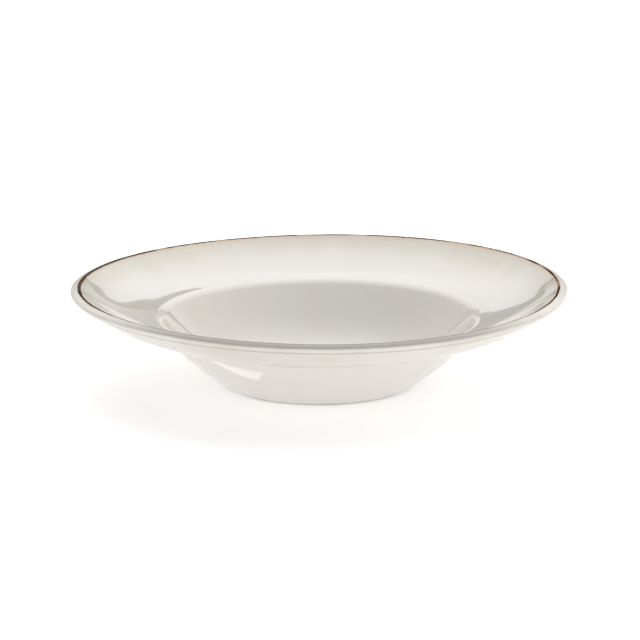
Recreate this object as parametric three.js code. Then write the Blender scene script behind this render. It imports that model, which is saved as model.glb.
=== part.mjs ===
// A wide-rimmed stoneware pasta plate: a deep round well inside a broad dished rim.
// Millimetres, +Z up. The origin is on the table at the centre of the foot ring.
// Every piece is a solid of revolution about Z. The clay body wears three coats of glaze
// and a brown line on the edge of the rim, each seated on it all over.

import * as THREE from 'three';

// Rim and lip
const RIM_RADIUS = 140;         // outermost point of the lip
const HEIGHT = 56.3;            // table to the arris, before its edge is rounded
const LIP_WIDTH = 5;            // from the arris out to the side of the lip
const LIP_FALL = 1.4;           // how far the top of the lip falls over that width
const LIP_FACE = 2.1;           // height of the side of the lip before it turns under
const LIP_UNDER_ROUND = 3;      // run of the round from the side of the lip to the underside
const RIM_SAG = 3.5;            // how far the rim dips below a straight cone, above and below alike

// Shoulder, where the rim breaks into the well, and the crease below it
const SHOULDER_RADIUS = 89.5;   // mouth of the well, before its edge is rounded
const SHOULDER_HEIGHT = 39.3;   // table to that edge
const SHOULDER_ROUND = 4;       // run of the round on each side of the shoulder
const SHOULDER_THICKNESS = 6.6; // from the shoulder straight down to the crease
const CREASE_OUT = 1;           // the crease lies this far outside the shoulder
const CREASE_ROUND = 3;         // run of the round on each side of the crease

// Bowl, floor and foot
const WALL_BULGE = 1.6;         // swell of the bowl's outside beyond a straight cone
const WELL_TURN = 7.5;          // the floor starts to rise this far inside the foot's edge
const FLOOR_THICKNESS = 5.5;    // from the recess up to the floor of the well, coats included
const FOOT_RADIUS = 51.9;       // outer edge of the ring that touches the table
const FOOT_WIDTH = 5;           // of that ring
const FOOT_FLARE = 2.2;         // the bowl has spread this far beyond the foot where the glaze stops
const FOOT_DEPTH = 2.5;         // recess inside the ring
const RECESS_ROUND = 2;         // run of the round along the roof of the recess

// Glaze
const GLAZE = 0.4;              // thickness of every coat
const SEAT = 0.02;              // clearance between a coat and the clay that it lies on
const GLAZE_STOP = 1.2;         // the coats end this far above the table, so the foot stays bare
const BAND_HALF = 1;            // the brown line reaches this far down each side of the arris

// Facets
const TURNS = 60;               // round the axis
const SWEEP_STEPS = 5;          // along a long bend of the outline
const ROUND_STEPS = 3;          // round a small corner

const point = (radius, height) => new THREE.Vector2(radius, height);

// The point at a distance from one corner towards another.
const towards = (from, to, distance) => to.clone().sub(from).setLength(distance).add(from);

// The corner that bends a straight run from one end to the other by a dip, downwards and outwards.
function dipCorner(inner, outer, dip) {
  const run = outer.clone().sub(inner).normalize();
  const middle = inner.clone().lerp(outer, 0.5);
  return middle.add(point(run.y, -run.x).multiplyScalar(2 * dip));
}

// A smooth stretch from start to end that leaves and arrives along the lines to a corner.
function bend(start, corner, end, steps) {
  return new THREE.QuadraticBezierCurve(start, corner, end).getPoints(steps);
}

// Stretches laid end to end, with the point that two of them share kept once.
const join = (...stretches) => stretches.flatMap((stretch, i) => (i === 0 ? stretch : stretch.slice(1)));

// Corners of the glazed outline, from the middle of the floor over the rim and down to the foot.
// The floor bends up into the well about a corner that lies as far outside the foot's edge as the bend
// starts inside it.
const floorHeight = FOOT_DEPTH + FLOOR_THICKNESS;
const floorEdge = point(FOOT_RADIUS - WELL_TURN, floorHeight);
const wellCorner = point(FOOT_RADIUS + WELL_TURN, floorHeight);
const shoulder = point(SHOULDER_RADIUS, SHOULDER_HEIGHT);
const arris = point(RIM_RADIUS - LIP_WIDTH, HEIGHT);
const rimCorner = dipCorner(shoulder, arris, RIM_SAG);
const lipTop = point(RIM_RADIUS, HEIGHT - LIP_FALL);
const lipBottom = point(RIM_RADIUS, lipTop.y - LIP_FACE);
const lipSide = lipTop.clone().lerp(lipBottom, 0.5);
const crease = point(SHOULDER_RADIUS + CREASE_OUT, SHOULDER_HEIGHT - SHOULDER_THICKNESS);
const underCorner = dipCorner(crease, lipBottom, RIM_SAG);
const wallEnd = point(FOOT_RADIUS + FOOT_FLARE, GLAZE_STOP);
const wallCorner = dipCorner(wallEnd, crease, WALL_BULGE);

// Where one stretch hands over to the next
const shoulderLow = towards(shoulder, wellCorner, SHOULDER_ROUND);
const shoulderHigh = towards(shoulder, rimCorner, SHOULDER_ROUND);
const bandInner = towards(arris, rimCorner, BAND_HALF);
const bandOuter = towards(arris, lipTop, BAND_HALF);
const lipUnder = towards(lipBottom, underCorner, LIP_UNDER_ROUND);
const creaseHigh = towards(crease, underCorner, CREASE_ROUND);
const creaseLow = towards(crease, wallCorner, CREASE_ROUND);

const faceOutline = join(
  [point(0, floorHeight), floorEdge],
  bend(floorEdge, wellCorner, shoulderLow, SWEEP_STEPS),
  bend(shoulderLow, shoulder, shoulderHigh, ROUND_STEPS),
  bend(shoulderHigh, rimCorner, bandInner, SWEEP_STEPS),
);
const bandOutline = bend(bandInner, arris, bandOuter, ROUND_STEPS);
const underOutline = join(
  bend(bandOuter, lipTop, lipSide, SWEEP_STEPS),
  bend(lipSide, lipBottom, lipUnder, ROUND_STEPS),
  bend(lipUnder, underCorner, creaseHigh, SWEEP_STEPS),
  bend(creaseHigh, crease, creaseLow, ROUND_STEPS),
  bend(creaseLow, wallCorner, wallEnd, SWEEP_STEPS),
);

// The recess inside the foot, from the inner side of the ring, which leans at 45 degrees, to the middle
const footInner = FOOT_RADIUS - FOOT_WIDTH;
const recessStart = point(footInner - GLAZE_STOP, GLAZE_STOP);
const recessCorner = point(footInner - FOOT_DEPTH, FOOT_DEPTH);
const recessMiddle = point(0, FOOT_DEPTH);
const recessTop = towards(recessCorner, recessMiddle, RECESS_ROUND);
const baseOutline = join(
  bend(recessStart, recessCorner, recessTop, ROUND_STEPS),
  [recessTop, recessMiddle],
);

// The same outline a little deeper in the clay, which lies to the right of the way an outline runs
function deeper(outline, depth) {
  return outline.map((here, i) => {
    const before = outline[Math.max(i - 1, 0)];
    const after = outline[Math.min(i + 1, outline.length - 1)];
    const way = after.clone().sub(before).normalize();
    return here.clone().addScaledVector(point(way.y, -way.x), depth);
  });
}

const topOutline = join(faceOutline, bandOutline, underOutline);
const topBack = deeper(topOutline, GLAZE);
const bandStart = faceOutline.length - 1;
const underStart = bandStart + bandOutline.length - 1;

const bodyProfile = [
  ...deeper(topOutline, GLAZE + SEAT),
  point(FOOT_RADIUS, 0),
  point(footInner, 0),
  ...deeper(baseOutline, GLAZE + SEAT),
];

// A coat between its face and its back: a disc that runs from the axis to the axis, or a closed ring
function coatProfile(face, back) {
  const home = back.toReversed();
  if (face[0].x === 0) return [...face, ...home];
  if (home[0].x === 0) return [...home, ...face];
  return [...face, ...home, face[0]];
}

// A profile that runs with its material on the right, turned about the axis and stood up along Z
function turned(name, profile, color, roughness) {
  const geometry = new THREE.LatheGeometry(profile.toReversed(), TURNS);
  geometry.rotateX(Math.PI / 2);
  const material = new THREE.MeshStandardMaterial({ color, roughness, metalness: 0 });
  const mesh = new THREE.Mesh(geometry, material);
  mesh.name = name;
  return mesh;
}

const plate = new THREE.Group();
plate.name = 'pasta_plate';
plate.add(
  turned('fired_body', bodyProfile, '#e2d6c4', 0.8),
  turned('face_glaze', coatProfile(faceOutline, topBack.slice(0, bandStart + 1)), '#ebe7e0', 0.12),
  turned('edge_band', coatProfile(bandOutline, topBack.slice(bandStart, underStart + 1)), '#6b5140', 0.3),
  turned('underside_glaze', coatProfile(underOutline, topBack.slice(underStart)), '#e9e5de', 0.12),
  turned('base_glaze', coatProfile(baseOutline, deeper(baseOutline, GLAZE)), '#e9e5de', 0.12),
);

export default plate;
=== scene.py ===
# %% [markdown]
# # A wide-rimmed pasta plate
# This lesson dresses a stoneware pasta plate. Its solids are already packed at their real size, as plain
# facets: the fired clay, three coats of cream glaze and a thin brown line on the edge of the rim. Here each
# solid is replaced by a fine mesh of the same form, and gets the finish that the kiln gave it. Blender works
# in metres, in the frame of the solids, so every piece falls into place without any fitting.

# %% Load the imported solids
import math

import bpy
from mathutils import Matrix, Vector


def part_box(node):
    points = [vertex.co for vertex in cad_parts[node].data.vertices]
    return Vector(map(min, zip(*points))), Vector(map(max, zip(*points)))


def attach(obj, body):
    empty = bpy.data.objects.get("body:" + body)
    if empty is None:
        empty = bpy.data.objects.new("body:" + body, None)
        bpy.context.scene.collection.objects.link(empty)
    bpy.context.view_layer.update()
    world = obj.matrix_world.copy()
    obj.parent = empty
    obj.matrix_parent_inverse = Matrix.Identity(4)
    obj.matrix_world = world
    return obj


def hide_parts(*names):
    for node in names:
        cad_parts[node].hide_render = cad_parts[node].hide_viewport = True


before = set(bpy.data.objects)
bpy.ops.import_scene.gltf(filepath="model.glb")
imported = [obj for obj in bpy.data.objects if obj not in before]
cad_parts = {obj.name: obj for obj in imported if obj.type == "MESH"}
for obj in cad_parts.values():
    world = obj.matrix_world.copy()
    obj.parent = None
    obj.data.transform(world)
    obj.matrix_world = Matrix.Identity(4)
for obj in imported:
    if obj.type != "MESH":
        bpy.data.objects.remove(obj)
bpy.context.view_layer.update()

print("packed solids:", ", ".join(sorted(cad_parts)))

# %% [markdown]
# ## The outline
# A plate is shaped on a turning wheel, so half of its cross-section says everything about its form. It could
# be drawn as a curve object, but a few corners and the bends between them are easier to read and to change.
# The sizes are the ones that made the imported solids. Only the small round on the foot's edges is added here.

# %% Sizes of the rim, the bowl and the coats
MM = 0.001
RIM_RADIUS = 140 * MM
HEIGHT = 56.3 * MM             # table to the arris, the edge between the rim and the lip
LIP_WIDTH = 5 * MM
LIP_FALL = 1.4 * MM
LIP_FACE = 2.1 * MM
LIP_UNDER_ROUND = 3 * MM
RIM_SAG = 3.5 * MM             # how far the rim dips below a straight cone
SHOULDER_RADIUS = 89.5 * MM    # mouth of the well
SHOULDER_HEIGHT = 39.3 * MM
SHOULDER_ROUND = 4 * MM
SHOULDER_THICKNESS = 6.6 * MM
CREASE_OUT = 1 * MM            # the crease below the rim lies this far outside the shoulder
CREASE_ROUND = 3 * MM
WALL_BULGE = 1.6 * MM
WELL_TURN = 7.5 * MM
FLOOR_THICKNESS = 5.5 * MM
FOOT_RADIUS = 51.9 * MM
FOOT_WIDTH = 5 * MM
FOOT_FLARE = 2.2 * MM
FOOT_DEPTH = 2.5 * MM          # recess inside the foot ring
FOOT_EDGE_ROUND = 0.5 * MM     # the ring's edges are rubbed smooth before the kiln
RECESS_ROUND = 2 * MM
GLAZE = 0.4 * MM
SEAT = 0.02 * MM               # clearance between a coat and the clay
GLAZE_STOP = 1.2 * MM
BAND_HALF = 1 * MM
SWEEP_STEPS = 20               # along a long bend
ROUND_STEPS = 10               # round a small corner

# %% [markdown]
# ## Corners and bends
# Every bend leaves and arrives along the straight lines to one corner. That is a quadratic Bezier curve, and
# it makes neighbouring bends meet without a kink, which matters on gloss: a reflection shows every kink.

# %% Helpers that draw an outline
def point(radius, height):
    return Vector((radius, height))


def towards(start, goal, distance):
    """The point at a distance from start on the way to goal."""
    return start + (goal - start).normalized() * distance


def dip_corner(inner, outer, dip):
    """The corner that bends a straight run by a dip, downwards and outwards."""
    run = (outer - inner).normalized()
    return (inner + outer) / 2 + point(run.y, -run.x) * 2 * dip


def bend(start, corner, end, steps):
    """A smooth stretch from start to end that is drawn towards a corner."""
    stretch = []
    for i in range(steps + 1):
        t = i / steps
        stretch.append(start * (1 - t) ** 2 + corner * 2 * t * (1 - t) + end * t ** 2)
    return stretch


def join(*stretches):
    """Stretches laid end to end, with the point that two of them share kept once."""
    joined = list(stretches[0])
    for stretch in stretches[1:]:
        joined.extend(stretch[1:])
    return joined


# %% Corners of the glazed outline
floor_height = FOOT_DEPTH + FLOOR_THICKNESS
floor_middle = point(0, floor_height)
floor_edge = point(FOOT_RADIUS - WELL_TURN, floor_height)
well_corner = point(FOOT_RADIUS + WELL_TURN, floor_height)
shoulder = point(SHOULDER_RADIUS, SHOULDER_HEIGHT)
arris = point(RIM_RADIUS - LIP_WIDTH, HEIGHT)
rim_corner = dip_corner(shoulder, arris, RIM_SAG)
lip_top = point(RIM_RADIUS, HEIGHT - LIP_FALL)
lip_bottom = point(RIM_RADIUS, lip_top.y - LIP_FACE)
lip_side = (lip_top + lip_bottom) / 2
crease = point(SHOULDER_RADIUS + CREASE_OUT, SHOULDER_HEIGHT - SHOULDER_THICKNESS)
under_corner = dip_corner(crease, lip_bottom, RIM_SAG)
wall_end = point(FOOT_RADIUS + FOOT_FLARE, GLAZE_STOP)
wall_corner = dip_corner(wall_end, crease, WALL_BULGE)
foot_inner = FOOT_RADIUS - FOOT_WIDTH
recess_start = point(foot_inner - GLAZE_STOP, GLAZE_STOP)
recess_corner = point(foot_inner - FOOT_DEPTH, FOOT_DEPTH)
recess_middle = point(0, FOOT_DEPTH)

# %% Bends between the corners
shoulder_low = towards(shoulder, well_corner, SHOULDER_ROUND)
shoulder_high = towards(shoulder, rim_corner, SHOULDER_ROUND)
band_inner = towards(arris, rim_corner, BAND_HALF)
band_outer = towards(arris, lip_top, BAND_HALF)
lip_under = towards(lip_bottom, under_corner, LIP_UNDER_ROUND)
crease_high = towards(crease, under_corner, CREASE_ROUND)
crease_low = towards(crease, wall_corner, CREASE_ROUND)
recess_top = towards(recess_corner, recess_middle, RECESS_ROUND)

face_outline = join(
    [floor_middle, floor_edge],
    bend(floor_edge, well_corner, shoulder_low, SWEEP_STEPS),
    bend(shoulder_low, shoulder, shoulder_high, ROUND_STEPS),
    bend(shoulder_high, rim_corner, band_inner, SWEEP_STEPS),
)
band_outline = bend(band_inner, arris, band_outer, ROUND_STEPS)
under_outline = join(
    bend(band_outer, lip_top, lip_side, ROUND_STEPS),
    bend(lip_side, lip_bottom, lip_under, ROUND_STEPS),
    bend(lip_under, under_corner, crease_high, SWEEP_STEPS),
    bend(crease_high, crease, crease_low, ROUND_STEPS),
    bend(crease_low, wall_corner, wall_end, SWEEP_STEPS),
)
top_outline = join(face_outline, band_outline, under_outline)
base_outline = join(
    bend(recess_start, recess_corner, recess_top, ROUND_STEPS),
    [recess_top, recess_middle],
)
print("points on the glazed outline:", len(top_outline), "and under the foot:", len(base_outline))


# %% [markdown]
# ## Turning an outline into a piece
# Blender's Screw modifier would sweep these outlines too. The rings are built directly instead, because each
# piece then gets its shading normals from the whole outline: where one coat ends and the next begins, both
# have the same normal, and the gloss runs over the join as it does on one poured glaze. No plate leaves the
# kiln quite true, either. This one's rim is warped like a saddle by just under a millimetre, which the eye
# sees in the two ends of the rim and in the reflections that lie on them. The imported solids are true.

# %% Helpers that turn outlines
TURNS = 360                    # facets round the axis
SADDLE = 0.9 * MM              # the rim rises so far on two opposite sides and sinks on the other two
SADDLE_TURN = math.radians(23.5)
TILT = 0.4 * MM                # and it stands a little higher on the right
WARP_EASE = 0.2                # softens the start of the warp at the foot
SLOPE_STEP = 0.1 * MM
FLAT_BEYOND = 0.8              # cosine of the angle between a face and a normal that still shades it


def outward(outline):
    """The direction away from the clay at each point. The clay is on the right of an outline's way."""
    directions = []
    for i in range(len(outline)):
        before = outline[max(i - 1, 0)]
        after = outline[min(i + 1, len(outline) - 1)]
        way = (after - before).normalized()
        directions.append(point(-way.y, way.x))
    return directions


def deeper(outline, depth):
    """The same outline a little deeper in the clay."""
    return [here - away * depth for here, away in zip(outline, outward(outline))]


def spun(flat, turn):
    """A point or direction of the cross-section, carried round the axis."""
    return Vector((flat.x * math.cos(turn), flat.x * math.sin(turn), flat.y))


def lift(place):
    """How far the kiln has lifted a place: nothing at the foot, more towards the rim."""
    reach = max(math.hypot(place.x, place.y) - FOOT_RADIUS, 0) / (arris.x - FOOT_RADIUS)
    share = (math.hypot(reach, WARP_EASE) - WARP_EASE) / (math.hypot(1, WARP_EASE) - WARP_EASE)
    turn = math.atan2(place.y, place.x)
    return share * (SADDLE * math.cos(2 * (turn - SADDLE_TURN)) + TILT * math.cos(turn))


def fired(place, normal):
    """A place and its normal as they come out of the kiln."""
    here = lift(place)
    slope_x = (lift(place + Vector((SLOPE_STEP, 0, 0))) - here) / SLOPE_STEP
    slope_y = (lift(place + Vector((0, SLOPE_STEP, 0))) - here) / SLOPE_STEP
    leaned = normal - Vector((slope_x, slope_y, 0)) * normal.z
    return place + Vector((0, 0, here)), leaned.normalized()


def new_object(name, points, faces):
    """An object in the scene, with a mesh of its own."""
    mesh = bpy.data.meshes.new(name)
    mesh.from_pydata(points, [], faces)
    thing = bpy.data.objects.new(name, mesh)
    bpy.context.scene.collection.objects.link(thing)
    return thing


def turned_piece(name, profile, away, closed):
    """A mesh of rings, one for each profile point, with a single vertex for a point on the axis."""
    vertices = []
    normals = []
    rings = []
    for here, direction in zip(profile, away):
        count = TURNS if here.x > 0 else 1
        rings.append(range(len(vertices), len(vertices) + count))
        for i in range(count):
            turn = math.tau * i / TURNS
            away_here = direction if count > 1 else point(0, direction.y)
            vertex, normal = fired(spun(here, turn), spun(away_here, turn))
            vertices.append(vertex)
            normals.append(normal)
    pairs = list(zip(rings, rings[1:]))
    if closed:
        pairs.append((rings[-1], rings[0]))
    faces = []
    for ring, following in pairs:
        for i in range(TURNS):
            j = i + 1
            corners = [ring[i % len(ring)], following[i % len(following)]]
            corners += [following[j % len(following)], ring[j % len(ring)]]
            faces.append(list(dict.fromkeys(corners)))
    piece = new_object(name, vertices, faces)
    piece.data.shade_smooth()
    give_normals(piece.data, normals)
    return piece


def give_normals(mesh, normals):
    """Shades each face by its vertices' normals, or flat where they turn away from it, as on a cut edge."""
    shading = []
    for face in mesh.polygons:
        smooth = all(face.normal.dot(normals[v]) > FLAT_BEYOND for v in face.vertices)
        for v in face.vertices:
            shading.append(normals[v] if smooth else face.normal)
    mesh.normals_split_custom_set(shading)


def coat(name, face, away):
    """A layer of glaze between its face and its back, as a disc round the axis or as a closed ring."""
    back = [here - direction * GLAZE for here, direction in zip(face, away)]
    home = [-direction for direction in away]
    if face[-1].x == 0:
        return turned_piece(name, back[::-1] + face, home[::-1] + away, False)
    on_axis = face[0].x == 0
    return turned_piece(name, face + back[::-1], away + home[::-1], not on_axis)


# %% [markdown]
# ## The four coats
# The real plate is dipped and poured: one glaze, in three areas that the brown edge and the bare foot keep
# apart. The edge is where the glaze runs thin as it melts and the iron in the clay shows through. Each area
# is a thin closed shell of its own.

# %% Turn the coats
band_start = len(face_outline) - 1
under_start = band_start + len(band_outline) - 1
top_away = outward(top_outline)

face_glaze = coat("glazed_face", face_outline, top_away[:band_start + 1])
edge_band = coat("brown_edge_line", band_outline, top_away[band_start:under_start + 1])
underside_glaze = coat("glazed_underside", under_outline, top_away[under_start:])
base_glaze = coat("glazed_recess", base_outline, outward(base_outline))
for piece in (face_glaze, edge_band, underside_glaze, base_glaze):
    print(piece.name, "has", len(piece.data.polygons), "faces")

# %% [markdown]
# ## The clay
# Under the coats is the fired body. Only its foot ring shows, where the potter wipes the glaze away so that
# the plate doesn't stick to the kiln shelf. Its two edges are rubbed round, so they get a bend each.

# %% Turn the body
foot_outer_edge = point(FOOT_RADIUS, 0)
foot_inner_edge = point(foot_inner, 0)
body_top = deeper(top_outline, GLAZE + SEAT)
body_base = deeper(base_outline, GLAZE + SEAT)
outer_round = bend(
    towards(foot_outer_edge, body_top[-1], FOOT_EDGE_ROUND),
    foot_outer_edge,
    towards(foot_outer_edge, foot_inner_edge, FOOT_EDGE_ROUND),
    ROUND_STEPS,
)
inner_round = bend(
    towards(foot_inner_edge, foot_outer_edge, FOOT_EDGE_ROUND),
    foot_inner_edge,
    towards(foot_inner_edge, body_base[0], FOOT_EDGE_ROUND),
    ROUND_STEPS,
)
body_outline = body_top + outer_round + inner_round + body_base
fired_body = turned_piece("fired_clay", body_outline, outward(body_outline), False)
print(fired_body.name, "has", len(fired_body.data.polygons), "faces")

# %% [markdown]
# ## Hooking the pieces to the solids
# Each piece rides on the plate's one body and hides the solid that it stands for.

# %% Ride and replace
for piece, node, finish in (
    (fired_body, "fired_body", "bare_clay"),
    (face_glaze, "face_glaze", "cream_glaze"),
    (edge_band, "edge_band", "brown_edge"),
    (underside_glaze, "underside_glaze", "cream_glaze"),
    (base_glaze, "base_glaze", "cream_glaze"),
):
    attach(piece, "root")
    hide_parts(node)
    low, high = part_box(node)
    print(piece.name, "stands for", node, "of height", round((high.z - low.z) / MM, 2), "mm")


# %% [markdown]
# ## Node helpers
# The finishes are node trees. A few small helpers keep them readable: one adds a node and fills its inputs,
# where a socket is wired in and anything else is a value, one opens a node group with named sockets, and two
# start a material.

# %% Helpers that build node trees
FLOAT = "NodeSocketFloat"
COLOUR = "NodeSocketColor"


def add_node(tree, kind, inputs=None, **settings):
    node = tree.nodes.new(kind)
    for name, value in settings.items():
        setattr(node, name, value)
    for key, value in (inputs or {}).items():
        if isinstance(value, bpy.types.NodeSocket):
            tree.links.new(value, node.inputs[key])
        else:
            node.inputs[key].default_value = value
    return node


def maths(tree, operation, first, second=0.0, third=0.0):
    inputs = {0: first, 1: second, 2: third}
    return add_node(tree, "ShaderNodeMath", inputs, operation=operation).outputs[0]


def ramp(tree, value, low, high, to_low=0.0, to_high=1.0):
    """Eases a value from one range into another, and holds it at the ends."""
    inputs = {"Value": value, "From Min": low, "From Max": high, "To Min": to_low, "To Max": to_high}
    return add_node(tree, "ShaderNodeMapRange", inputs, interpolation_type="SMOOTHSTEP").outputs[0]


def noise(tree, scale, detail=2.0, roughness=0.5, offset=(0.0, 0.0, 0.0), place=None):
    """Cloudy values about one half. The scale counts blotches to a metre of the plate."""
    if place is None:
        place = add_node(tree, "ShaderNodeTexCoord").outputs["Object"]
    moved = add_node(tree, "ShaderNodeMapping", {"Vector": place, "Location": offset})
    inputs = {"Vector": moved.outputs[0], "Scale": scale, "Detail": detail, "Roughness": roughness}
    return add_node(tree, "ShaderNodeTexNoise", inputs).outputs[0]


def pushed(tree, value, cloud, reach):
    """A distance that a cloudy value shifts to and fro, up to half of a reach each way."""
    shift = maths(tree, "MULTIPLY", maths(tree, "SUBTRACT", cloud, 0.5), reach)
    return maths(tree, "ADD", value, shift)


def blend_colours(tree, share, first, second):
    """Lays a share of the second colour over the first."""
    inputs = {0: share, 6: first, 7: second}
    return add_node(tree, "ShaderNodeMix", inputs, data_type="RGBA").outputs[2]


def open_group(name, inputs, outputs):
    """A node group with named sockets, given as (name, kind, default) and (name, kind)."""
    tree = bpy.data.node_groups.new(name, "ShaderNodeTree")
    for label, kind, default in inputs:
        socket = tree.interface.new_socket(label, in_out="INPUT", socket_type=kind)
        socket.default_value = default
    for label, kind in outputs:
        tree.interface.new_socket(label, in_out="OUTPUT", socket_type=kind)
    given = tree.nodes.new("NodeGroupInput").outputs
    wanted = tree.nodes.new("NodeGroupOutput").inputs
    return tree, given, wanted


def use_group(tree, group, inputs=None):
    return add_node(tree, "ShaderNodeGroup", inputs, node_tree=group).outputs


def new_material(name):
    """A material, its node tree and the shader that it starts with."""
    material = bpy.data.materials.new(name)
    material.use_nodes = True
    tree = material.node_tree
    return material, tree, tree.nodes["Principled BSDF"]


def stage_material(name):
    """A material, its node tree and an open end for a plainer shader."""
    material, tree, shader = new_material(name)
    tree.nodes.remove(shader)
    return material, tree, tree.nodes["Material Output"].inputs["Surface"]


# %% [markdown]
# ## Cloudy glaze
# A poured glaze is never one colour: where it lies thick it turns whiter, and where it runs thin the warm
# clay comes through. Two soft noises, one broad and one finer, mix a cream and a paler white. On the outside
# a whiter colour is also painted on the bowl by height, below the crease: painted light, for the bowl lit
# more brightly than the rim's underside. Every coat uses this, so it is a group.

# %% Group: glaze cloud
CREAM = (0.70, 0.666, 0.603, 1.0)
PALE = (0.71, 0.687, 0.645, 1.0)
# painted light: the whiter colour painted on the bowl by height, for the bowl lit more brightly than the rim's
# underside
BOWL_LIGHT_WHITE = (0.86, 0.83, 0.78, 1.0)
BROAD_BLOTCHES = 16.0          # to a metre
FINE_BLOTCHES = 90.0
FINE_SHARE = 0.35
CLOUD_RANGE = (0.45, 0.9)      # both noises together, from thin glaze to thick
BOWL_LIGHT_FROM = crease.y + 3 * MM
BOWL_LIGHT_FULL = crease.y - 4 * MM

cloud, given, wanted = open_group(
    "Glaze cloud and painted bowl light",
    [
        ("Cream", COLOUR, CREAM),
        ("Pale", COLOUR, PALE),
        ("Bowl light white", COLOUR, BOWL_LIGHT_WHITE),
        ("Blotches per metre", FLOAT, BROAD_BLOTCHES),
        ("Bowl light share", FLOAT, 0.0),
    ],
    [("Colour", COLOUR), ("Thickness", FLOAT)],
)
broad = noise(cloud, given["Blotches per metre"], detail=3.0)
fine = noise(cloud, FINE_BLOTCHES, offset=(3.0, 1.0, 0.0))
mottle = maths(cloud, "MULTIPLY_ADD", fine, FINE_SHARE, broad)
place = add_node(cloud, "ShaderNodeTexCoord").outputs["Object"]
height = add_node(cloud, "ShaderNodeSeparateXYZ", {0: place}).outputs[2]
# painted light: the bowl is whitened by height below the crease
painted_bowl_light = maths(cloud, "MULTIPLY", ramp(cloud, height, BOWL_LIGHT_FROM, BOWL_LIGHT_FULL), given["Bowl light share"])
thickness = ramp(cloud, mottle, *CLOUD_RANGE)
colour = blend_colours(cloud, thickness, given["Cream"], given["Pale"])
cloud.links.new(blend_colours(cloud, painted_bowl_light, colour, given["Bowl light white"]), wanted["Colour"])
cloud.links.new(thickness, wanted["Thickness"])
print("group:", cloud.name)

# %% [markdown]
# ## The stained edge and painted shade
# On the arris the glaze melts away to a brown line about a millimetre wide, broadest on the left end of the
# plate and thin on the front. Inside it, a tan halo fades within a few millimetres, and a fainter tint runs
# down the rim. Outside it, a grey-brown is painted on the flat top of the lip towards its outer edge, most of
# all at the front: painted shade and a painted dark reflection. Under the lip and in the crease, thin grey
# rings are painted on what faces down: painted shade in those hollows. What counts is how far a spot lies
# from the axis and which way it faces, so the group measures that, lets noise push it to and fro, and puts
# out a mask for each of the five.

# %% Group: edge stain, measures
ENDS_FROM = 70 * MM            # the left and right ends of the rim start here
ENDS_FULL = 128 * MM
RIGHT_END = 0.2                # what the right end has of the left end's broader line
FRONT_FROM = -40 * MM          # the front of the rim starts here
FRONT_FULL = -95 * MM
FACES_UP = (0.2, 0.8)          # upright part of the normal where a mask starts and is full

# The group puts out real stains, and also painted shade on the lip's top, under the lip and in the crease.
stain_and_shade, given, wanted = open_group(
    "Edge stain and painted shade",
    [("Strength", FLOAT, 1.0)],
    [("Line", FLOAT), ("Halo", FLOAT), ("Tint", FLOAT), ("Painted lip shade", FLOAT), ("Painted ring shade", FLOAT)],
)
place = add_node(stain_and_shade, "ShaderNodeTexCoord").outputs["Object"]
axes = add_node(stain_and_shade, "ShaderNodeSeparateXYZ", {0: place}).outputs
flat = add_node(stain_and_shade, "ShaderNodeCombineXYZ", {0: axes[0], 1: axes[1]}).outputs[0]
radius = add_node(stain_and_shade, "ShaderNodeVectorMath", {0: flat}, operation="LENGTH").outputs["Value"]
inside = maths(stain_and_shade, "SUBTRACT", arris.x, radius)
distance = maths(stain_and_shade, "ABSOLUTE", inside)
front = ramp(stain_and_shade, axes[1], FRONT_FROM, FRONT_FULL)
left_end = ramp(stain_and_shade, axes[0], -ENDS_FROM, -ENDS_FULL)
right_end = ramp(stain_and_shade, axes[0], ENDS_FROM, ENDS_FULL, 0.0, RIGHT_END)
ends = maths(stain_and_shade, "MAXIMUM", left_end, right_end)
normal = add_node(stain_and_shade, "ShaderNodeNewGeometry").outputs["Normal"]
facing = add_node(stain_and_shade, "ShaderNodeSeparateXYZ", {0: normal}).outputs[2]
upward = ramp(stain_and_shade, facing, *FACES_UP)

# %% Group: edge stain, line
LINE_HALF = 0.65 * MM
LINE_HALF_ENDS = 1.0 * MM
FRONT_THINNING = 0.55          # share of its width that the line keeps on the front
LINE_FRAY = 0.6 * MM
LINE_GRAIN = 220.0             # frays to a metre
LINE_FADE = (1.3, 0.75)        # where it starts and is full, in half widths
DASH_GRAIN = 60.0
DASH_RANGE = (0.3, 0.55)
DASH_LEAST = (0.45, 0.9)       # what is left of the line between dashes, elsewhere and on the ends

line_half = ramp(stain_and_shade, ends, 0.0, 1.0, LINE_HALF, LINE_HALF_ENDS)
line_half = maths(stain_and_shade, "MULTIPLY", line_half, ramp(stain_and_shade, front, 0.0, 1.0, 1.0, FRONT_THINNING))
line_at = pushed(stain_and_shade, distance, noise(stain_and_shade, LINE_GRAIN), LINE_FRAY)
line = ramp(stain_and_shade, maths(stain_and_shade, "DIVIDE", line_at, line_half), *LINE_FADE)
dashes = ramp(stain_and_shade, noise(stain_and_shade, DASH_GRAIN, detail=3.0, offset=(0.0, 5.0, 0.0)), *DASH_RANGE)
line_least = ramp(stain_and_shade, ends, 0.0, 1.0, *DASH_LEAST)
line = maths(stain_and_shade, "MULTIPLY", line, maths(stain_and_shade, "MAXIMUM", dashes, line_least))

# %% Group: edge stain, halo and tint
HALO_REACH = 3.6 * MM
HALO_FRAY = 4.5 * MM
HALO_GRAIN = 55.0
HALO_OUTER = -1.5 * MM         # it weakens to a share out here on the lip
HALO_OUTER_SHARE = 0.25
TINT_REACH = 19 * MM
TINT_FRAY = 15 * MM
TINT_START = 0.5 * MM          # to both sides of the arris
STREAK_GRAIN = 9.0             # for a rim of radius one
STREAK_STRETCH = 0.2           # streaks are so much slower across the rim than round it

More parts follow.
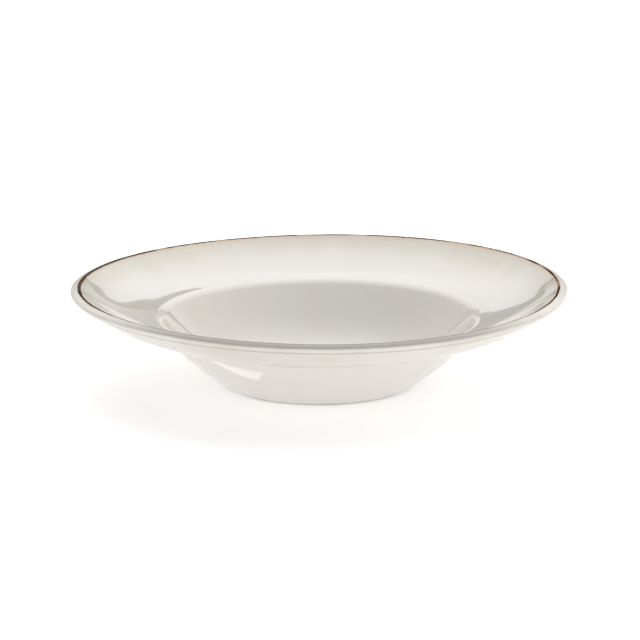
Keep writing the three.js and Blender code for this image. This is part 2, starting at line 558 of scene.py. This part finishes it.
round_place = add_node(stain_and_shade, "ShaderNodeVectorMath", {0: flat}, operation="NORMALIZE").outputs[0]
round_axes = add_node(stain_and_shade, "ShaderNodeSeparateXYZ", {0: round_place}).outputs
along = maths(stain_and_shade, "MULTIPLY", radius, STREAK_STRETCH / arris.x)
streak_axes = {0: round_axes[0], 1: round_axes[1], 2: along}
streak_place = add_node(stain_and_shade, "ShaderNodeCombineXYZ", streak_axes).outputs[0]
streaks = noise(stain_and_shade, STREAK_GRAIN, detail=3.0, place=streak_place)
patches = noise(stain_and_shade, HALO_GRAIN, detail=4.0, roughness=0.6)
halo = ramp(stain_and_shade, pushed(stain_and_shade, distance, patches, HALO_FRAY), HALO_REACH, 0.0)
halo = maths(stain_and_shade, "MULTIPLY", halo, ramp(stain_and_shade, inside, HALO_OUTER, 0.0, HALO_OUTER_SHARE, 1.0))
tint = ramp(stain_and_shade, pushed(stain_and_shade, inside, streaks, TINT_FRAY), TINT_REACH, 0.0)
tint = maths(stain_and_shade, "MULTIPLY", tint, ramp(stain_and_shade, inside, -TINT_START, TINT_START))

# %% Group: edge stain, painted shade on the lip
# Painted shade and a painted dark reflection: a grey-brown on the lip's flat top, strongest on the front.
LIP_SHADE_INNER = 0.5 * MM           # the grey starts this far outside the arris
LIP_SHADE_FULL = 3.5 * MM
LIP_SHADE_FIRST = 0.8                # strength next to the arris, against one at the outer edge
LIP_SHADE_FACES = (0.62, 0.93)       # it ends where the lip turns down: upright part of the normal
LIP_SHADE_SHY = 0.05                 # strength on the back and the ends, against one on the front
LIP_SHADE_FRONT = (-55 * MM, -128 * MM)

outside = maths(stain_and_shade, "MULTIPLY", inside, -1.0)
lip_shade_across = ramp(stain_and_shade, outside, LIP_SHADE_INNER, LIP_SHADE_FULL, LIP_SHADE_FIRST, 1.0)
lip_shade_start = ramp(stain_and_shade, outside, 0.0, LIP_SHADE_INNER)
lip_shade_end = ramp(stain_and_shade, facing, *LIP_SHADE_FACES)
lip_shade_strength = ramp(stain_and_shade, axes[1], *LIP_SHADE_FRONT, LIP_SHADE_SHY, 1.0)
painted_lip_shade = maths(stain_and_shade, "MULTIPLY", maths(stain_and_shade, "MULTIPLY", lip_shade_across, lip_shade_start), lip_shade_end)
painted_lip_shade = maths(stain_and_shade, "MULTIPLY", painted_lip_shade, lip_shade_strength)

# %% Group: edge stain, painted ring shade and masks
# Painted shade: thin grey rings on what faces down, under the lip and in the crease.
UNDER_LIP_SHADE_RADIUS = lip_under.x + 0.8 * MM
UNDER_LIP_SHADE_HALF = 0.7 * MM
UNDER_LIP_SHADE_FADE = (1.5 * UNDER_LIP_SHADE_HALF, 0.5 * UNDER_LIP_SHADE_HALF)
UNDER_LIP_SHADE_GRAIN = 90.0
UNDER_LIP_SHADE_SHARE = 0.65                # strength of the ring under the lip, against one in the crease
CREASE_SHADE_RING = (1.9 * MM, 0.9 * MM)    # off the crease, where its ring starts and is full
RING_SHADE_FACES = (0.0, -0.35)      # the painted shade lies on what faces down

from_under_lip_shade = maths(stain_and_shade, "ABSOLUTE", maths(stain_and_shade, "SUBTRACT", radius, UNDER_LIP_SHADE_RADIUS))
from_under_lip_shade = pushed(stain_and_shade, from_under_lip_shade, noise(stain_and_shade, UNDER_LIP_SHADE_GRAIN), UNDER_LIP_SHADE_HALF)
from_crease = maths(stain_and_shade, "ABSOLUTE", maths(stain_and_shade, "SUBTRACT", radius, crease.x))
under_lip_shade = maths(stain_and_shade, "MULTIPLY", ramp(stain_and_shade, from_under_lip_shade, *UNDER_LIP_SHADE_FADE), UNDER_LIP_SHADE_SHARE)
painted_ring_shade = maths(stain_and_shade, "MAXIMUM", under_lip_shade, ramp(stain_and_shade, from_crease, *CREASE_SHADE_RING))
painted_ring_shade = maths(stain_and_shade, "MULTIPLY", painted_ring_shade, ramp(stain_and_shade, facing, *RING_SHADE_FACES))

for mask, name, faces in (
    (line, "Line", upward),
    (halo, "Halo", upward),
    (tint, "Tint", upward),
    (painted_lip_shade, "Painted lip shade", 1.0),
    (painted_ring_shade, "Painted ring shade", 1.0),
):
    shown = maths(stain_and_shade, "MULTIPLY", mask, faces)
    stain_and_shade.links.new(maths(stain_and_shade, "MULTIPLY", shown, given["Strength"]), wanted[name])
print("group:", stain_and_shade.name)

# %% [markdown]
# ## Iron specks
# Stoneware clay holds grains of iron, and a few of them bleed through the glaze as small grey-brown dots.
# A Voronoi texture scatters one point in each cell. A dot is drawn round the point of every cell whose
# random colour lies in the lowest part of its range, so most cells stay clean.

# %% Group: iron specks
SPECK_RADIUS = 0.45 * MM
SPECK_CORE = 0.3               # share of the radius that is full
SPECK_CELLS = 110.0            # cells to a metre
SPECK_SHARE = 0.12             # share of the cells that have a dot

specks, given, wanted = open_group("Iron specks", [("Strength", FLOAT, 0.5)], [("Specks", FLOAT)])
place = add_node(specks, "ShaderNodeTexCoord").outputs["Object"]
cells = add_node(specks, "ShaderNodeTexVoronoi", {"Vector": place, "Scale": SPECK_CELLS}).outputs
reach = SPECK_RADIUS * SPECK_CELLS
dots = ramp(specks, cells["Distance"], reach, reach * SPECK_CORE)
chosen = add_node(specks, "ShaderNodeSeparateColor", {0: cells["Color"]}).outputs[0]
chosen = maths(specks, "LESS_THAN", chosen, SPECK_SHARE)
shown = maths(specks, "MULTIPLY", maths(specks, "MULTIPLY", dots, chosen), given["Strength"])
specks.links.new(shown, wanted["Specks"])
print("group:", specks.name)

# %% [markdown]
# ## Glaze ripple
# Melted glaze settles in slow waves a few hundredths of a millimetre high. They can't be seen as shape, but
# they bend the edge of every reflection a little, which is how the eye tells glaze from plastic. They are
# too low for the mesh, so a group puts out their height for a Bump node.

# %% Group: glaze ripple
SLOW_WAVES = 26.0              # to a metre
QUICK_WAVES = 110.0
QUICK_SHARE = 0.1

ripple, given, wanted = open_group(
    "Glaze ripple", [("Waves per metre", FLOAT, SLOW_WAVES)], [("Height", FLOAT)]
)
slow = noise(ripple, given["Waves per metre"], detail=1.0)
quick = noise(ripple, QUICK_WAVES, detail=1.0, offset=(2.0, 0.0, 4.0))
ripple.links.new(maths(ripple, "MULTIPLY_ADD", quick, QUICK_SHARE, slow), wanted["Height"])
print("group:", ripple.name)

# %% [markdown]
# ## The glaze finish
# One function makes the material of a coat: cloud with the bowl's painted light, specks, stains, painted shade
# and line are laid over each other into the Base Color, thin glaze is a little rougher than thick, and the
# ripple goes through a Bump node. The coats share the groups, so their colours meet without a step at the
# joins. The brown edge is glaze that has burnt dry, so it is rough and mirrors nothing.

# %% Cream glaze and brown edge
UNDERSIDE_PALE = (0.79, 0.76, 0.71, 1.0)
SPECK_GREY = (0.30, 0.26, 0.22, 1.0)
STAINS_AND_SHADES = (
    # mask, its greatest share, and the colour that it lays on
    ("Tint", 0.62, (0.56, 0.52, 0.42, 1.0)),
    ("Halo", 0.75, (0.62, 0.44, 0.32, 1.0)),
    # painted shade and a painted dark reflection on the lip's top
    ("Painted lip shade", 0.92, (0.22, 0.20, 0.175, 1.0)),
    # painted shade in the rings under the lip and in the crease
    ("Painted ring shade", 0.95, (0.46, 0.43, 0.385, 1.0)),
    ("Line", 1.0, (0.05, 0.027, 0.016, 1.0)),
)
RIPPLE_HEIGHT = 0.06 * MM


def glaze_finish(name, stained_and_shaded, specked, smooth, rough, pale=PALE, bowl_light=0.0):
    """A coat's glaze: stains and painted shade, specks, painted bowl light, roughness of thick and thin glaze.
    """
    material, tree, shader = new_material(name)
    body = use_group(tree, cloud, {"Pale": pale, "Bowl light share": bowl_light})
    edge = use_group(tree, stain_and_shade, {"Strength": stained_and_shaded})
    dots = use_group(tree, specks, {"Strength": specked})
    waves = use_group(tree, ripple)
    colour = blend_colours(tree, dots["Specks"], body["Colour"], SPECK_GREY)
    for mask, share, stain_and_shade_colour in STAINS_AND_SHADES:
        colour = blend_colours(tree, maths(tree, "MULTIPLY", edge[mask], share), colour, stain_and_shade_colour)
    gloss = ramp(tree, body["Thickness"], 0.0, 1.0, rough, smooth)
    bump = add_node(tree, "ShaderNodeBump", {"Height": waves["Height"], "Distance": RIPPLE_HEIGHT})
    tree.links.new(colour, shader.inputs["Base Color"])
    tree.links.new(gloss, shader.inputs["Roughness"])
    tree.links.new(bump.outputs[0], shader.inputs["Normal"])
    return material


face_finish = glaze_finish("Cream glaze, face", stained_and_shaded=1.0, specked=0.35, smooth=0.03, rough=0.05)
edge_finish = glaze_finish("Brown edge glaze", stained_and_shaded=1.0, specked=0.0, smooth=0.4, rough=0.5)
edge_finish.node_tree.nodes["Principled BSDF"].inputs["Specular IOR Level"].default_value = 0.0
underside_finish = glaze_finish(
    "Cream glaze, underside",
    stained_and_shaded=1.0,
    specked=0.2,
    smooth=0.04,
    rough=0.06,
    pale=UNDERSIDE_PALE,
    # the bowl's painted light, in full on the underside coat
    bowl_light=1.0,
)
recess_finish = glaze_finish("Cream glaze, recess", stained_and_shaded=0.0, specked=0.3, smooth=0.06, rough=0.12)
face_glaze.data.materials.append(face_finish)
edge_band.data.materials.append(edge_finish)
underside_glaze.data.materials.append(underside_finish)
base_glaze.data.materials.append(recess_finish)
print("glaze finishes:", len(bpy.data.materials))

# %% [markdown]
# ## Bare clay
# The foot ring is unglazed: warm, dry and slightly gritty, with grey rub marks from the tables it has stood
# on. Fine noise gives the grit, broad noise the firing marks, and the shader is rough all over.

# %% Bare clay finish
CLAY_LIGHT = (0.69, 0.66, 0.60, 1.0)
CLAY_DARK = (0.55, 0.52, 0.47, 1.0)
FIRING_GRAIN = 40.0            # marks to a metre
FIRING_RANGE = (0.35, 0.7)
GRIT_GRAIN = 900.0
GRIT_RANGE = (0.6, 0.75)       # the coarsest grit is darker
GRIT_SHARE = 0.5
GRIT_HEIGHT = 0.08 * MM
GRIT_SPREAD = (0.3, 0.7)       # finest to coarsest
CLAY_ROUGH = (0.7, 0.9)        # on the finest and on the coarsest grit

clay, tree, shader = new_material("Bare fired clay")
firing = ramp(tree, noise(tree, FIRING_GRAIN, detail=4.0), *FIRING_RANGE)
grit = noise(tree, GRIT_GRAIN, detail=3.0, roughness=0.7)
earth = blend_colours(tree, firing, CLAY_LIGHT, CLAY_DARK)
earth = blend_colours(tree, ramp(tree, grit, *GRIT_RANGE, 0.0, GRIT_SHARE), earth, SPECK_GREY)
bump = add_node(tree, "ShaderNodeBump", {"Height": grit, "Distance": GRIT_HEIGHT})
tree.links.new(earth, shader.inputs["Base Color"])
tree.links.new(ramp(tree, grit, *GRIT_SPREAD, *CLAY_ROUGH), shader.inputs["Roughness"])
tree.links.new(bump.outputs[0], shader.inputs["Normal"])
fired_body.data.materials.append(clay)
print("clay finish:", clay.name)

# %% [markdown]
# ## Light table
# The plate stands on a light table, a sheet of milky white plastic with lamps below it. Product studios use
# one to keep the hollow under a wide rim bright and the shadow pale. Lamps under a translucent sheet would
# do it too, but an even glow on top of a matt white gives the same light with less noise. To the camera and
# in reflections the sheet glows a little more, through the Light Path node, so that it comes out white
# without more light on the plate. From below it lets the view through.

# %% White table
FLOOR_RADIUS = 9.0
FLOOR_SIDES = 96
FLOOR_COLOUR = (0.85, 0.85, 0.85, 1.0)
TABLE_LIGHT = 0.22
TABLE_SEEN = 0.42              # glow towards the camera and reflections


def background_rays(tree):
    """One where the camera, a reflection or glass looks, and nought for plain lighting."""
    path = add_node(tree, "ShaderNodeLightPath").outputs
    seen = maths(tree, "MAXIMUM", path["Is Camera Ray"], path["Is Glossy Ray"])
    return maths(tree, "MAXIMUM", seen, path["Is Transmission Ray"])


floor_points = [(0.0, 0.0, 0.0)]
for i in range(FLOOR_SIDES):
    floor_points.append(spun(point(FLOOR_RADIUS, 0.0), math.tau * i / FLOOR_SIDES))
floor_faces = [(0, i + 1, (i + 1) % FLOOR_SIDES + 1) for i in range(FLOOR_SIDES)]
floor = new_object("white_table", floor_points, floor_faces)

paint, tree, surface = stage_material("Milky white sheet")
by_ray = {"Value": background_rays(tree), "To Min": TABLE_LIGHT, "To Max": TABLE_SEEN}
glow = add_node(tree, "ShaderNodeMapRange", by_ray).outputs[0]
matt = add_node(tree, "ShaderNodeBsdfDiffuse", {"Color": FLOOR_COLOUR})
light = add_node(tree, "ShaderNodeEmission", {"Strength": glow})
top = add_node(tree, "ShaderNodeAddShader", {0: matt.outputs[0], 1: light.outputs[0]})
below = add_node(tree, "ShaderNodeBsdfTransparent")
side = add_node(tree, "ShaderNodeNewGeometry").outputs["Backfacing"]
either = add_node(tree, "ShaderNodeMixShader", {0: side, 1: top.outputs[0], 2: below.outputs[0]})
tree.links.new(either.outputs[0], surface)
floor.data.materials.append(paint)
print("table:", floor.name, "of radius", FLOOR_RADIUS, "m")

# %% [markdown]
# ## Studio light
# Glaze shows its surroundings, so the studio matters as much as the finish. The plate stands in a dome of
# white cloth, lit through it by two large lamps behind and above, and by a weaker one on the right. Light
# through cloth has no edge, so each lamp is a round glow that eases out. It could be painted with world
# nodes, but a mesh that glows by its vertices also shows in reflections just as it lights.

# %% Helpers for glowing sheets
DOME_DISTANCE = 1.8
RIM_CENTRE = Vector((0.0, 0.0, 45 * MM))

glowing_cloth, tree, surface = stage_material("Glowing cloth")
glow = add_node(tree, "ShaderNodeAttribute", attribute_name="glow").outputs["Fac"]
light = add_node(tree, "ShaderNodeEmission", {"Strength": glow})
tree.links.new(light.outputs[0], surface)


def sky(turn, elevation):
    """The direction at a compass turn from straight behind the plate and an elevation, in degrees."""
    a = math.radians(turn)
    e = math.radians(elevation)
    return Vector((math.sin(a) * math.cos(e), math.cos(a) * math.cos(e), math.sin(e)))


def eased(value, low, high):
    """Goes smoothly from nought at low to one at high."""
    t = min(max((value - low) / (high - low), 0), 1)
    return t * t * (3 - 2 * t)


def level(value):
    """The same value all over, for an edge or a glow."""
    return lambda *place: value


def glowing_sheet(name, turns, low, high, glow, distance=DOME_DISTANCE, columns=24, rows=1):
    """A curved sheet between two edges in the sky that lights and reflects, but isn't seen directly."""
    points = []
    glows = []
    for row in range(rows + 1):
        for column in range(columns + 1):
            turn = turns[0] + (turns[1] - turns[0]) * column / columns
            elevation = low(turn) + (high(turn) - low(turn)) * row / rows
            points.append(RIM_CENTRE + sky(turn, elevation) * distance)
            glows.append(glow(turn, elevation))
    faces = []
    wide = columns + 1
    for row in range(rows):
        for column in range(columns):
            corner = row * wide + column
            faces.append((corner, corner + 1, corner + wide + 1, corner + wide))
    sheet = new_object(name, points, faces)
    sheet.data.attributes.new("glow", "FLOAT", "POINT").data.foreach_set("value", glows)
    sheet.data.materials.append(glowing_cloth)
    sheet.visible_camera = False
    return sheet


# %% Dome of soft light
DOME_AIR = 0.45
LAMPS = (
    # turn, elevation, angle of the full glow, angle where it ends, strength
    (0, 50, 14, 48, 1.5),
    (0, 75, 10, 42, 0.8),
    (85, 35, 10, 55, 0.65),
)


def dome_glow(turn, elevation):
    glow = DOME_AIR
    for lamp_turn, lamp_elevation, full, end, strength in LAMPS:
        angle = math.degrees(sky(turn, elevation).angle(sky(lamp_turn, lamp_elevation)))
        glow += strength * eased(angle, end, full)
    return glow


glowing_sheet("dome", (-180, 180), level(-1), level(90), dome_glow, columns=72, rows=30)
for lamp in LAMPS:
    print("dome glows by", round(dome_glow(*lamp[:2]), 2), "at the lamp at", lamp[:2])

# %% [markdown]
# ## Cards
# Cards inside the dome shape the light further. In front and on both sides, low bright cards light the lip
# and the bowl from below the camera's view. A taller one at the back on the right brightens that side.

# %% Low cards
CARD_DISTANCE = 1.7
for name, turns, low, high, strength in (
    ("front_card", (150, 210), 0.6, 10, 4.0),
    ("left_card", (-120, -70), 0.6, 10, 2.5),
    ("right_card", (70, 120), 0.6, 10, 1.4),
    ("right_back_card", (22, 60), 2, 22, 1.1),
):
    glowing_sheet(name, turns, level(low), level(high), level(strength), CARD_DISTANCE)
    print(name, "from", low, "to", high, "degrees")

# %% [markdown]
# ## Grey cloth
# Behind the plate hangs a grey cloth with an uneven dark hem on top. The rim mirrors it at a grazing angle,
# which makes the two grey patches with a dark upper border. Each edge of the hem is drawn by the places
# where it turns, and runs smoothly from one to the next, as cloth does between the clips that hold it. Below
# the hem, a fold on each side catches more light. All this is there for the reflections alone, so it takes
# no part in the lighting.

# %% Grey cloth behind
CLOTH_TURNS = (-14, 14)
CLOTH_DISTANCE = 0.4
CLOTH_COLUMNS = 112
CLOTH_FOOT = -6.3              # degrees, down at the table
HEM_GLOW = 0.0
HEM_TOP = (
    # turn and elevation in degrees, from left to right
    (-14, 15.5),
    (-12, 15.9),
    (-10.1, 17.2),
    (-8.7, 13.1),
    (-7.8, 13),
    (-4.2, 16.2),
    (0, 14.6),
    (3.4, 16),
    (7.6, 12.4),
    (10.2, 13.4),
    (14, 13.7),
)
HEM_BOTTOM = (
    (-14, 12.8),
    (-12, 12.7),
    (-9, 11),
    (-7.5, 11.2),
    (-3.3, 14.9),
    (0, 14),
    (3.2, 15),
    (9, 8.6),
    (14, 10.7),
)
FOLD_GLOW = (
    # turn and strength
    (-14, 0.25),
    (-8, 0.6),
    (-3.6, 0.33),
    (3.2, 0.33),
    (8.4, 0.87),
    (11.5, 0.15),
    (14, 0.2),
)


def drawn(places):
    """A value that runs smoothly from each place to the next, for an edge or a glow."""
    def value_at(turn, *elevation):
        for (start, first), (end, last) in zip(places, places[1:]):
            if turn <= end:
                return first + (last - first) * eased(turn, start, end)
        return places[-1][1]
    return value_at


def for_reflections(sheet):
    sheet.visible_diffuse = False
    sheet.visible_shadow = False


for name, low, high, glow in (
    ("hem", drawn(HEM_BOTTOM), drawn(HEM_TOP), level(HEM_GLOW)),
    ("cloth", level(CLOTH_FOOT), drawn(HEM_BOTTOM), drawn(FOLD_GLOW)),
):
    sheet = glowing_sheet(name, CLOTH_TURNS, low, high, glow, CLOTH_DISTANCE, CLOTH_COLUMNS)
    for_reflections(sheet)
    print(name, "between turns", CLOTH_TURNS)

# %% [markdown]
# ## White leaf on the table
# The bowl looks down at the table, so its one highlight comes from there: a leaf of white card that lies on
# the left under the rim. A honeycomb grid on it lets light out one way only, towards the bowl. Without the
# grid, the underside of the rim would mirror it too. Like the cloth, it takes no part in the lighting.

# %% White leaf with a grid
LEAF_TURNS = (207, 242)        # degrees round the axis from the right
LEAF_OUTER = (83.5 * MM, 77.5 * MM)
LEAF_WIDTH = 8.5 * MM
LEAF_WIDENS = (200, 234)
LEAF_NARROWS = (242, 235)
LEAF_HEIGHT = 0.5 * MM
LEAF_STEPS = 28

leaf_points = []
for i in range(LEAF_STEPS + 1):
    turn = LEAF_TURNS[0] + (LEAF_TURNS[1] - LEAF_TURNS[0]) * i / LEAF_STEPS
    outer = LEAF_OUTER[0] + (LEAF_OUTER[1] - LEAF_OUTER[0]) * i / LEAF_STEPS
    inner = outer - LEAF_WIDTH * eased(turn, *LEAF_WIDENS) * eased(turn, *LEAF_NARROWS)
    leaf_points.append(spun(point(outer, LEAF_HEIGHT), math.radians(turn)))
    leaf_points.append(spun(point(inner, LEAF_HEIGHT), math.radians(turn)))
leaf_faces = [(2 * i, 2 * i + 1, 2 * i + 3, 2 * i + 2) for i in range(LEAF_STEPS)]
leaf = new_object("white_leaf", leaf_points, leaf_faces)
leaf.visible_camera = False
for_reflections(leaf)
print("white leaf with", len(leaf_faces), "faces")

# %% Finish of the leaf
LEAF_GLOW = 2.1
GRID_WAY = (-34, -54)          # compass turn and elevation of the sight lines that it lets through
GRID_ANGLES = (22, 13)         # degrees off that way where the light ends and where it is full

gridded, tree, surface = stage_material("White card under a grid")
sight_line = add_node(tree, "ShaderNodeNewGeometry").outputs["Incoming"]
way_out = {0: sight_line, 1: -sky(*GRID_WAY)}
straight = add_node(tree, "ShaderNodeVectorMath", way_out, operation="DOT_PRODUCT").outputs["Value"]
ends_at, full_at = [math.cos(math.radians(angle)) for angle in GRID_ANGLES]
let_out = ramp(tree, straight, ends_at, full_at)
light = add_node(tree, "ShaderNodeEmission", {"Strength": LEAF_GLOW})
clear = add_node(tree, "ShaderNodeBsdfTransparent")
either = add_node(tree, "ShaderNodeMixShader", {0: let_out, 1: clear.outputs[0], 2: light.outputs[0]})
tree.links.new(either.outputs[0], surface)
leaf.data.materials.append(gridded)
print("leaf finish:", gridded.name)

# %% [markdown]
# ## Air
# Outside the dome is plain white air. The world gives it, at a strength of one, which is white.

# %% World
world = bpy.data.worlds.new("Pale studio")
bpy.context.scene.world = world
world.use_nodes = True
air = world.node_tree.nodes["Background"]
air.inputs["Color"].default_value = (1.0, 1.0, 1.0, 1.0)
air.inputs["Strength"].default_value = 1.0
bpy.context.scene.view_settings.view_transform = "Standard"
print("world:", world.name)

# %% [markdown]
# ## Camera
# The picture was taken from far off with a long lens, a little above the rim. The distance and the
# elevation make the ellipses of the rim, the well and the foot come out at the right widths and heights.

# %% Camera
CAMERA_DISTANCE = 2.5
CAMERA_ELEVATION = 13.79       # degrees above the table
CAMERA_LOOKS_FROM = Vector((0.0, 0.0, 30.0 * MM))
CAMERA_AIM = Vector((0.56 * MM, 0.0, 36.1 * MM))
LENS = 248.96
SIGHT = 50.0                   # as far as the camera sees

lens = bpy.data.cameras.new("long_lens")
lens.lens = LENS
lens.clip_end = SIGHT
camera = bpy.data.objects.new("camera", lens)
bpy.context.scene.collection.objects.link(camera)
camera.location = CAMERA_LOOKS_FROM + sky(180, CAMERA_ELEVATION) * CAMERA_DISTANCE
camera.rotation_euler = (CAMERA_AIM - camera.location).to_track_quat("-Z", "Y").to_euler()
bpy.context.scene.camera = camera
print("camera at", [round(x, 3) for x in camera.location])
